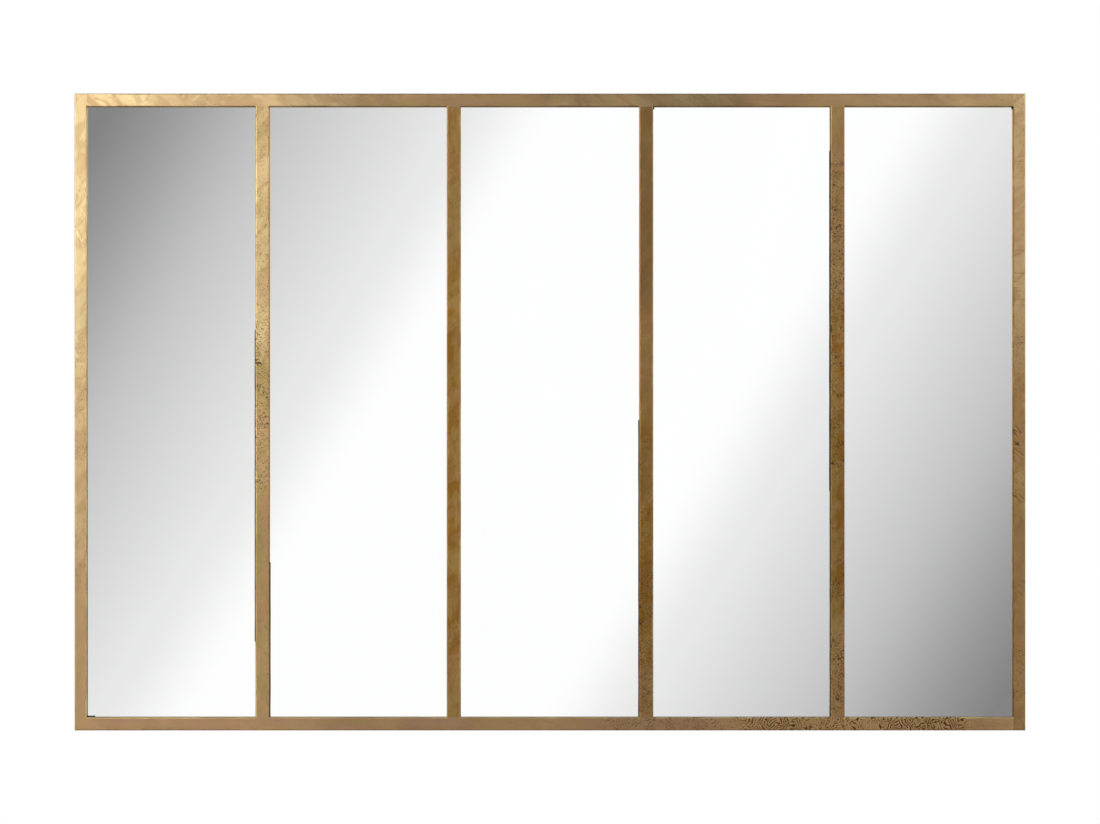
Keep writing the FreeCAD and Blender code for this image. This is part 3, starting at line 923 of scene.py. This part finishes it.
@dataclass
class Grille:
    """The eight flat bars of the front grille, with the uneven face of leaf laid by hand."""

    leaf: GildedLeaf = GildedLeaf()
    cell_along: float = 0.0040
    cell_across: float = 0.0028
    edge_band: float = 0.0020
    relief: float = 0.00028
    wave_length: float = 0.050
    wave_share: float = 0.45
    ripple_length: float = 0.014
    ripple_share: float = 0.30
    weld_distance: float = 0.00001
    flat_angle: float = math.radians(0.4)
    sharp_angle: float = math.radians(40)

    # each bar's tone, pale spans, folds, umber and shade spans and rims paint part of the light and shade
    # along it: painted highlight where it is bright, painted shade where it is dark, over the leaf's own
    # colours
    WORK: ClassVar[dict[str, LeafWork]] = {
        "left_stile": LeafWork(
            Run.UPRIGHT, 0.0, (RimLight.AMBER, RimLight.BRASS), olive=0.28, bronze=0.50, ink=0.75, tone=0.92, grain=0.3,
            rim_light_share=(0.10, 0.35),
            pale=(Span(0.05, 0.42, 0.50), Span(-0.20, 0.05, 0.30)),
            folds=(Span(0.18, 0.30, 0.8), Span(0.01, 0.12, 0.7)),
            crackle=(Span(-0.23, -0.13, 0.35), Span(-0.07, 0.11, 0.40)),
            shade=(Span(0.12, 0.42, 0.06),),
        ),
        "right_stile": LeafWork(
            Run.UPRIGHT, 0.5, (RimLight.UMBER, RimLight.AMBER), olive=0.30, bronze=0.55, curl=0.35, ink=0.85, tone=0.92,
            grain=0.6, rim_light_share=(0.75, 0.10),
            strokes=(Span(0.08, 0.36), Span(-0.10, 0.08, 0.7)),
            folds=(Span(-0.10, 0.04, 0.3),),
            crackle=(Span(0.02, 0.16, 0.34), Span(-0.12, -0.05, 0.38), Span(-0.37, -0.29, 0.50)),
            cracks=(Span(-0.13, 0.02, 1.1), Span(-0.24, -0.18, 0.8)),
            pale=(Span(0.12, 0.42, 0.38),),
            umber=(Span(-0.42, 0.05, 0.50),),
            shade=(Span(-0.28, -0.01, 0.06),),
        ),
        "top_rail": LeafWork(
            Run.LEVEL, 1.0, (RimLight.UMBER, RimLight.UMBER), olive=0.25, bronze=0.60, ink=0.3, tone=0.90, grain=0.15,
            pale=(Span(-0.585, -0.50, 0.85), Span(-0.50, -0.25, 0.35), Span(0.0, 0.24, 0.30),
                  Span(0.38, 0.60, 0.15)),
            folds=(Span(-0.57, -0.38, 0.5),),
            crackle=(Span(0.52, 0.58, 0.3),),
            shade=(Span(-0.33, 0.33, 0.14), Span(-0.02, 0.12, 0.12), Span(0.12, 0.25, 0.25)),
        ),
        "bottom_rail": LeafWork(
            Run.LEVEL, 1.5, olive=0.22, bronze=0.80, curl=0.10, ink=1.0, tone=0.92, grain=0.6,
            shade=(Span(-0.28, 0.22, 0.14),),
            umber=(Span(0.22, 0.56, 0.24),),
            crackle=(Span(0.07, 0.17, 0.42), Span(0.17, 0.24, 0.48),
                     Span(0.25, 0.32, 1.15), Span(0.33, 0.42, 0.80), Span(0.43, 0.52, 1.25)),
        ),
        "mullion_1": LeafWork(
            Run.UPRIGHT, 2.0, olive=0.60, bronze=0.35, olive_side=1.0, curl=0.75, ink=0.90, tone=0.97,
            grain=0.6,
            pale=(Span(0.05, 0.40, 0.45),),
            crackle=(Span(-0.10, 0.12, 0.80), Span(0.12, 0.24, 0.45), Span(0.24, 0.40, 0.42),
                     Span(-0.38, -0.11, 0.28)),
            shade=(Span(-0.42, -0.13, 0.07), Span(0.13, 0.26, 0.07)),
            umber=(Span(-0.27, -0.10, 0.20),),
        ),
        "mullion_2": LeafWork(
            Run.UPRIGHT, 2.5, (RimLight.AMBER, RimLight.STRAW), olive=0.35, bronze=0.30, olive_side=-0.8, ink=0.6,
            tone=0.92, grain=0.5, rim_light_share=(0.10, 0.10),
            umber=(Span(-0.42, 0.42, 0.80), Span(-0.30, 0.20, 0.25)),
            crackle=(Span(0.22, 0.36, 0.35), Span(-0.33, -0.24, 0.40)),
            shade=(Span(0.16, 0.42, 0.06),),
        ),
        "mullion_3": LeafWork(
            Run.UPRIGHT, 3.0, (RimLight.AMBER, RimLight.STRAW), olive=0.22, bronze=0.70, olive_side=-1.2, curl=0.75,
            ink=0.95, tone=0.81, grain=0.5, rim_light_share=(0.25, 0.10),
            umber=(Span(-0.42, 0.42, 0.62), Span(-0.32, 0.02, 0.25), Span(-0.27, -0.12, 0.25)),
            strokes=(Span(-0.16, 0.14, 0.6),),
            crackle=(Span(-0.38, -0.20, 1.05), Span(-0.20, -0.02, 0.50)),
            shade=(Span(0.14, 0.42, 0.24), Span(-0.30, -0.12, 0.02)),
        ),
        "mullion_4": LeafWork(
            Run.UPRIGHT, 3.5, (RimLight.UMBER, RimLight.RUST), olive=0.34, bronze=0.42, olive_side=2.4, curl=0.75,
            ink=1.0, tone=0.90, grain=0.6, rim_light_share=(0.10, 0.30),
            umber=(Span(-0.42, 0.42, 0.50), Span(-0.26, 0.14, 0.55)),
            strokes=(Span(0.22, 0.34, 0.5),),
            crackle=(Span(0.06, 0.32, 0.92), Span(-0.08, 0.06, 0.85), Span(-0.18, -0.09, 0.45),
                     Span(-0.24, -0.19, 1.1), Span(-0.38, -0.28, 1.25)),
            shade=(Span(-0.27, 0.0, 0.05),),
        ),
    }

    def build(self) -> None:
        """Make every bar from its CAD node, with its relief and its leaf."""
        for node, work in self.WORK.items():
            shape = self.divided(node, work.run)
            self.sink_face(shape, node)
            smooth_below(shape, self.sharp_angle)
            piece = add_piece(f"gilded_{node}", shape, self.leaf.material(node, work))
            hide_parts(node)

    def divided(self, node: str, run: Run) -> bmesh.types.BMesh:
        """A merged copy of a bar's CAD mesh, cut into small cells along and across its face.

        Args:
            node: The bar's CAD node.
            run: Which way the bar runs.

        Returns:
            The divided copy.
        """
        shape = bmesh.new()
        shape.from_mesh(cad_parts[node].data)
        bmesh.ops.remove_doubles(shape, verts=shape.verts[:], dist=self.weld_distance)
        bmesh.ops.dissolve_limit(shape, angle_limit=self.flat_angle, verts=shape.verts[:],
                                 edges=shape.edges[:])
        low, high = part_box(node)
        long_axis, short_axis = run.axes()
        band = short_axis * self.edge_band
        self.slice(shape, low, high, long_axis, self.cell_along)
        self.slice(shape, low + band, high - band, short_axis, self.cell_across)
        return shape

    def slice(
        self, shape: bmesh.types.BMesh, low: Vector, high: Vector, axis: Vector, cell: float
    ) -> None:
        """Cut a shape square to an axis into equal cells.

        Args:
            shape: The shape.
            low: The corner where the cells start.
            high: The corner where they end.
            axis: The direction square to the cuts.
            cell: The greatest length of a cell.
        """
        length = (high - low).dot(axis)
        count = math.ceil(length / cell)
        for step in range(count + 1):
            centre = low + axis * (length * step / count)
            geometry = shape.verts[:] + shape.edges[:] + shape.faces[:]
            bmesh.ops.bisect_plane(shape, geom=geometry, dist=self.weld_distance / 10, plane_co=centre,
                                   plane_no=axis)

    def sink_face(self, shape: bmesh.types.BMesh, node: str) -> None:
        """Sink the face of a bar by a small uneven depth, none of it at the back.

        Args:
            shape: The divided copy of the bar.
            node: The bar's CAD node.
        """
        low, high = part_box(node)
        for vertex in shape.verts:
            wave = noise.noise(vertex.co / self.wave_length)
            ripple = noise.noise(vertex.co / self.ripple_length)
            share = min(1.0, max(0.0, 0.5 + self.wave_share * wave + self.ripple_share * ripple))
            front = (high.y - vertex.co.y) / (high.y - low.y)
            vertex.co.y += self.relief * share * front


@dataclass
class TubeFrame:
    """The mitred tube frame, the webs behind the mullions and the welds across the mitres."""

    weld_length: float = 0.0118
    weld_width: float = 0.0042
    weld_height: float = 0.0009
    weld_taper: float = 0.5
    base_share: float = 0.06
    ripple_pitch: float = 0.0013
    ripple_bow: float = 3.0
    ripple_depth: float = 0.16
    sharp_angle: float = math.radians(60)
    steps_along: int = 48
    steps_across: int = 10

    def build(self) -> None:
        """Dress the steel and lay a bead over each mitre."""
        tube = GildedTube().material()
        dress(nodes_like("_tube"), tube)
        dress(nodes_like("web_"), Paintwork("black_steel", (0.030, 0.030, 0.032), 0.6).material())
        for level in ("top", "bottom"):
            for side in ("left", "right"):
                self.lay_bead(level, side, tube)

    def lay_bead(self, level: str, side: str, material: bpy.types.Material) -> None:
        """One rippled weld bead on the back of the frame, along a mitre.

        Args:
            level: Whether the mitre is at the top or the bottom.
            side: Whether it is on the left or the right.
            material: The bead's finish.
        """
        low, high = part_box(f"{side}_tube")
        half_tube = (high.x - low.x) / 2
        up = 1 if level == "top" else -1
        right = 1 if side == "right" else -1
        centre = Vector(((low.x + high.x) / 2, high.y, up * (high.z - half_tube)))
        shape = bmesh.new()
        bmesh.ops.create_grid(shape, x_segments=self.steps_along, y_segments=self.steps_across, size=0.5)
        grown = bmesh.ops.extrude_face_region(shape, geom=shape.faces[:])
        crown = [part for part in grown["geom"] if isinstance(part, bmesh.types.BMVert)]
        for vertex in crown:
            vertex.co.z = self.crown_height(vertex.co.x, vertex.co.y)
        for vertex in shape.verts:
            vertex.co.x *= self.weld_length
            vertex.co.y *= self.weld_width * (1 - self.weld_taper * (2 * vertex.co.x / self.weld_length) ** 4)
        lie_flat = Matrix.Rotation(-math.pi / 2, 4, "X")
        along_mitre = Matrix.Rotation(-up * right * math.pi / 4, 4, "Y")
        in_place = Matrix.Translation(centre) @ along_mitre @ lie_flat
        bmesh.ops.transform(shape, matrix=in_place, verts=shape.verts[:])
        bmesh.ops.recalc_face_normals(shape, faces=shape.faces[:])
        smooth_below(shape, self.sharp_angle)
        add_piece(f"weld_bead_{level}_{side}", shape, material)

    def crown_height(self, along: float, across: float) -> float:
        """The height of a bead over the steel.

        Args:
            along: The place along the bead, as a share of its length from its middle.
            across: The place across it, as a share of its width from its middle.

        Returns:
            The height.
        """
        ripples = along * self.weld_length / self.ripple_pitch + across ** 2 * self.ripple_bow
        ripple = 1 + self.ripple_depth * math.cos(2 * math.pi * ripples)
        round_across = max(0.0, 1 - (2 * across) ** 2)
        round_along = max(0.0, 1 - abs(2 * along) ** 5)
        crown = self.base_share + (1 - self.base_share) * math.sqrt(round_across * round_along)
        return self.weld_height * crown * ripple / (1 + self.ripple_depth)


@dataclass(frozen=True)
class ShadeLip:
    """A thin dark strip of painted shade on the panes beside a bar, in the tape's finish: which bar, which
    side of it, and the stretch along it.

    The side is 1 for right or up, and -1 for left or down.
    """

    bar: str
    side: int
    start: float
    end: float
    width: float = 0.0013


@dataclass
class Glazing:
    """The mirror panes, the tape that beds them, the card behind them and thin dark strips of painted shade
    beside some bars.
    """

    lip_root: float = 0.0020
    lip_thickness: float = 0.0004
    lip_cell: float = 0.004
    lip_wander: float = 0.00022
    wander_length: float = 0.03
    sharp_angle: float = math.radians(30)

    # painted shade: thin dark strips on the panes where shade falls beside the edges of the bars
    SHADE_LIPS: ClassVar[tuple[ShadeLip, ...]] = (
        ShadeLip("mullion_1", -1, -0.290, 0.104),
        ShadeLip("mullion_1", 1, -0.3852, -0.190, 0.0011),
        ShadeLip("mullion_3", -1, -0.3852, -0.010, 0.0012),
        ShadeLip("mullion_4", -1, -0.100, 0.330, 0.0014),
        ShadeLip("mullion_4", -1, 0.330, 0.3852, 0.0008),
        ShadeLip("mullion_4", -1, -0.3852, -0.100, 0.0009),
        ShadeLip("bottom_rail", 1, -0.5845, -0.5745, 0.0016),
        ShadeLip("right_stile", -1, 0.3822, 0.3852, 0.0015),
        ShadeLip("mullion_3", 1, 0.3822, 0.3852, 0.0015),
    )

    def build(self) -> None:
        """Dress the glazing and lay thin dark strips of painted shade beside some bars, in the tape's finish.
        """
        tape = Paintwork("black_tape", (0.018, 0.018, 0.019), 0.75, Pattern(900, detail=3)).material()
        dress(nodes_like("mirror_pane"), Silvering().material())
        dress(nodes_like("glazing_tape"), tape)
        dress(nodes_like("packing_card"), Card().material())
        for number, lip in enumerate(self.SHADE_LIPS, start=1):
            self.lay_shade_lip(f"painted_shade_lip_{number}", lip, tape)

    def lay_shade_lip(self, name: str, lip: ShadeLip, material: bpy.types.Material) -> None:
        """A thin dark strip of painted shade on the face of the panes, beyond the edge of a bar.

        Args:
            name: The strip's name.
            lip: Where it lies.
            material: Its finish.
        """
        low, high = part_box(lip.bar)
        along, out = Grille.WORK[lip.bar].run.axes()
        edge = (high if lip.side > 0 else low).dot(out)
        pane_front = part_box("mirror_pane_1")[0].y
        length, width = lip.end - lip.start, lip.width + self.lip_root
        shape = bmesh.new()
        bmesh.ops.create_cube(shape, size=1)
        size = along * length + out * width + Vector((0, self.lip_thickness, 0))
        centre = along * (lip.start + length / 2) + out * (edge + lip.side * (lip.width - self.lip_root) / 2)
        centre.y = pane_front - self.lip_thickness / 2
        bmesh.ops.scale(shape, vec=size, verts=shape.verts[:])
        bmesh.ops.translate(shape, vec=centre, verts=shape.verts[:])
        count = math.ceil(length / self.lip_cell)
        for step in range(1, count):
            geometry = shape.verts[:] + shape.edges[:] + shape.faces[:]
            cut = centre + along * (length * (step / count - 0.5))
            bmesh.ops.bisect_plane(shape, geom=geometry, plane_co=cut, plane_no=along)
        for vertex in shape.verts:
            if (vertex.co - centre).dot(out) * lip.side > 0:
                wander = noise.noise(vertex.co.dot(along) * out / self.wander_length)
                vertex.co += out * (self.lip_wander * wander)
        smooth_below(shape, self.sharp_angle)
        add_piece(name, shape, material)


@dataclass
class Back:
    """The backing board, the turn buttons that hold it and the ring hangers."""

    def build(self) -> None:
        """Dress the board and the hardware."""
        dress(["backing_board"], Hardboard().material())
        dress(nodes_like("turn_button", "hanger"), ZincPlate().material())
        dress(nodes_like("bumper"), Paintwork("bumper_rubber", (0.030, 0.029, 0.028), 0.7).material())


# Studio


@dataclass(frozen=True)
class Lamp:
    """A soft square lamp."""

    name: str
    place: Place
    aim: Place
    size: float
    power: float
    tint: Colour = (1.0, 1.0, 1.0)

    def build(self) -> None:
        """Hang the lamp and turn it to what it lights."""
        light = bpy.data.lights.new(self.name, "AREA")
        light.size = self.size
        light.energy = self.power
        light.color = self.tint
        lamp = bpy.data.objects.new(self.name, light)
        lamp.location = self.place
        lamp.rotation_euler = (Vector(self.aim) - Vector(self.place)).to_track_quat("-Z", "Y").to_euler()
        bpy.context.scene.collection.objects.link(lamp)
        log.info("hung %s", self.name)


@dataclass(frozen=True)
class Glow:
    """A large soft light far away, seen in gloss only, placed by its slopes to the right and up."""

    centre: Pair
    reach: Pair
    level: float
    core: float = 0.45

    def light(self, graph: Graph, rightward: Signal, upward: Signal) -> Signal:
        """The light of the glow in each direction.

        Args:
            graph: The world's graph.
            rightward: How steeply the direction runs to the right.
            upward: How steeply it runs up.

        Returns:
            The light.
        """
        sideways = (rightward - self.centre[0]) / self.reach[0]
        upwards = (upward - self.centre[1]) / self.reach[1]
        distance = graph.maths("SQRT", sideways * sideways + upwards * upwards)
        return distance.below(self.core, 1.0) * self.level


@dataclass
class Studio:
    """A plain pale studio: a floor, soft lamps, a graded surround for reflections, and the camera."""

    image_width: int = 1100
    sensor_width: float = 36.0
    camera_distance: float = 3.1
    pixels_per_metre: float = 792.5
    floor_drop: float = 1.5
    floor_radius: float = 5.5
    floor_fade: float = 2.4
    floor_end: float = 5.225
    floor_sides: int = 96
    floor_grain: Pattern = Pattern(40, detail=4)
    white: Colour = (1.0, 1.0, 1.0)
    floor_colour: Colour = (0.80, 0.80, 0.79)
    # the white card that the mirror shows, with a bright band that leans across it
    card_half_width: float = 0.192
    card_half_height: float = 0.1275
    card_edge: float = 0.013
    band_slant: float = 0.6
    band_light: float = 1.06
    band_edge: Pair = (0.068, 0.112)
    band_drop: float = 0.20
    band_fall: float = 3.85
    band_foot: Pair = (0.175, 0.235)
    band_foot_drop: float = 0.07
    band_dark: float = 0.245
    # the dim room close round the card, and the paler walls beyond it, palest at the horizon
    room_light: float = 0.12
    room_half_width: float = 0.22
    room_fade: float = 0.25
    room_foot: Pair = (-0.27, -0.14)
    room_turn: Pair = (-0.30, -0.10)
    wall_light: float = 0.42
    horizon_light: float = 0.34
    horizon: Pair = (-0.05, 0.30)
    ceiling_light: float = 1.20
    ceiling: Pair = (0.45, 0.80)
    fill_light: float = 0.75

    GLOWS: ClassVar[tuple[Glow, ...]] = (
        Glow((-0.50, 0.26), (0.32, 0.46), 9.0),
        Glow((0.56, 0.30), (0.34, 0.42), 4.5),
    )
    LAMPS: ClassVar[tuple[Lamp, ...]] = (
        Lamp("key_lamp", (-1.45, -1.55, 1.15), (-0.35, 0.0, 0.20), 0.80, 5.0, (1.0, 0.98, 0.95)),
        Lamp("right_lamp", (1.75, -1.50, 0.95), (0.45, 0.0, 0.15), 0.60, 2.0),
        Lamp("rear_lamp", (1.20, 2.40, 1.50), (0.0, 0.0, 0.0), 1.50, 18.0),
    )

    def build(self) -> None:
        """Set up everything round the mirror."""
        self.set_camera()
        self.lay_floor()
        self.shade_world()
        for lamp in self.LAMPS:
            lamp.build()
        bpy.context.scene.view_settings.view_transform = "Standard"

    def set_camera(self) -> None:
        """Stand the camera square in front of the mirror."""
        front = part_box("left_stile")[0].y
        data = bpy.data.cameras.new("camera")
        data.sensor_width = self.sensor_width
        data.lens = self.camera_distance * self.pixels_per_metre * self.sensor_width / self.image_width
        camera = bpy.data.objects.new("camera", data)
        camera.location = (0, front - self.camera_distance, 0)
        camera.rotation_euler = (math.pi / 2, 0, 0)
        bpy.context.scene.collection.objects.link(camera)
        bpy.context.scene.camera = camera

    def lay_floor(self) -> None:
        """A round pale floor, as far below as for a mirror that hangs on a wall, fading out at its rim."""
        shape = bmesh.new()
        bmesh.ops.create_circle(shape, cap_ends=True, segments=self.floor_sides, radius=self.floor_radius)
        bmesh.ops.translate(shape, vec=(0, 0, -self.floor_drop), verts=shape.verts[:])
        mesh = bpy.data.meshes.new("floor")
        shape.to_mesh(mesh)
        shape.free()
        material, graph = new_material("floor")
        place = graph.place()
        across, deep, _ = graph.split(place)
        reach = graph.maths("SQRT", across * across + deep * deep)
        grain = self.floor_grain.drawn(place)
        colour = graph.brighten(self.floor_colour, grain * 0.04 + 0.98)
        plain = graph.node("BsdfDiffuse", {}, {"Color": colour})
        glossy = graph.node("LightPath", {}, {}, "Is Glossy Ray")
        shown = graph.brighten(self.white, 1 - glossy * (1 - self.wall_light - self.horizon_light))
        glow = graph.node("Emission", {}, {"Color": shown, "Strength": 1.0})
        rim = reach.above(self.floor_fade, self.floor_end)
        graph.finish(graph.node("MixShader", {}, {0: rim, 1: plain, 2: glow}))
        mesh.materials.append(material)
        floor = bpy.data.objects.new("floor", mesh)
        bpy.context.scene.collection.objects.link(floor)

    def shade_world(self) -> None:
        """White behind everything, a graded surround in reflections, and an even light on dull surfaces."""
        world = bpy.data.worlds.new("studio")
        bpy.context.scene.world = world
        graph = Graph(world)
        right, back, up = graph.split(graph.node("TexCoord", {}, {}, "Generated"))
        forward = (0 - back).most(0.05)
        rightward, upward = right / forward, up / forward
        lean = abs(rightward - upward * self.band_slant)
        edge_drop = lean.above(*self.band_edge) * self.band_drop
        foot_drop = lean.above(*self.band_foot) * self.band_foot_drop
        fall = (lean - self.band_edge[1]).most(0.0) * self.band_fall
        band = (self.band_light - (edge_drop + foot_drop) - fall).most(self.band_dark)
        card = (abs(rightward).below(self.card_half_width, self.card_half_width + self.card_edge)
                * abs(upward).below(self.card_half_height, self.card_half_height + self.card_edge))
        ahead = (abs(rightward).below(self.room_half_width, self.room_half_width + self.room_fade)
                 * upward.above(*self.room_foot) * back.below(*self.room_turn))
        walls = up.below(*self.horizon) * self.horizon_light + self.wall_light
        seen = (band * card + (1 - card) * self.room_light) * ahead + walls * (1 - ahead)
        for glow in self.GLOWS:
            seen = seen + glow.light(graph, rightward, upward) * back.below(*self.room_turn)
        overhead = up.above(*self.ceiling)
        seen = seen * (1 - overhead) + overhead * self.ceiling_light
        path = graph.node("LightPath", {}, {}, "Is Camera Ray").socket.node.outputs
        camera, glossy, through = (
            Signal(graph, path[name]) for name in ("Is Camera Ray", "Is Glossy Ray", "Is Transmission Ray")
        )
        shown = camera.most(through)
        level = shown + glossy * seen + (1 - shown.most(glossy)) * self.fill_light
        graph.finish(graph.node("Background", {}, {"Color": self.white, "Strength": level}))


def main() -> None:
    """Build the studio and dress the mirror from its front to its back."""
    logging.basicConfig(level=logging.INFO, format="%(name)s: %(message)s")
    Studio().build()
    Grille().build()
    TubeFrame().build()
    Glazing().build()
    Back().build()


if __name__ == "__main__":
    main()
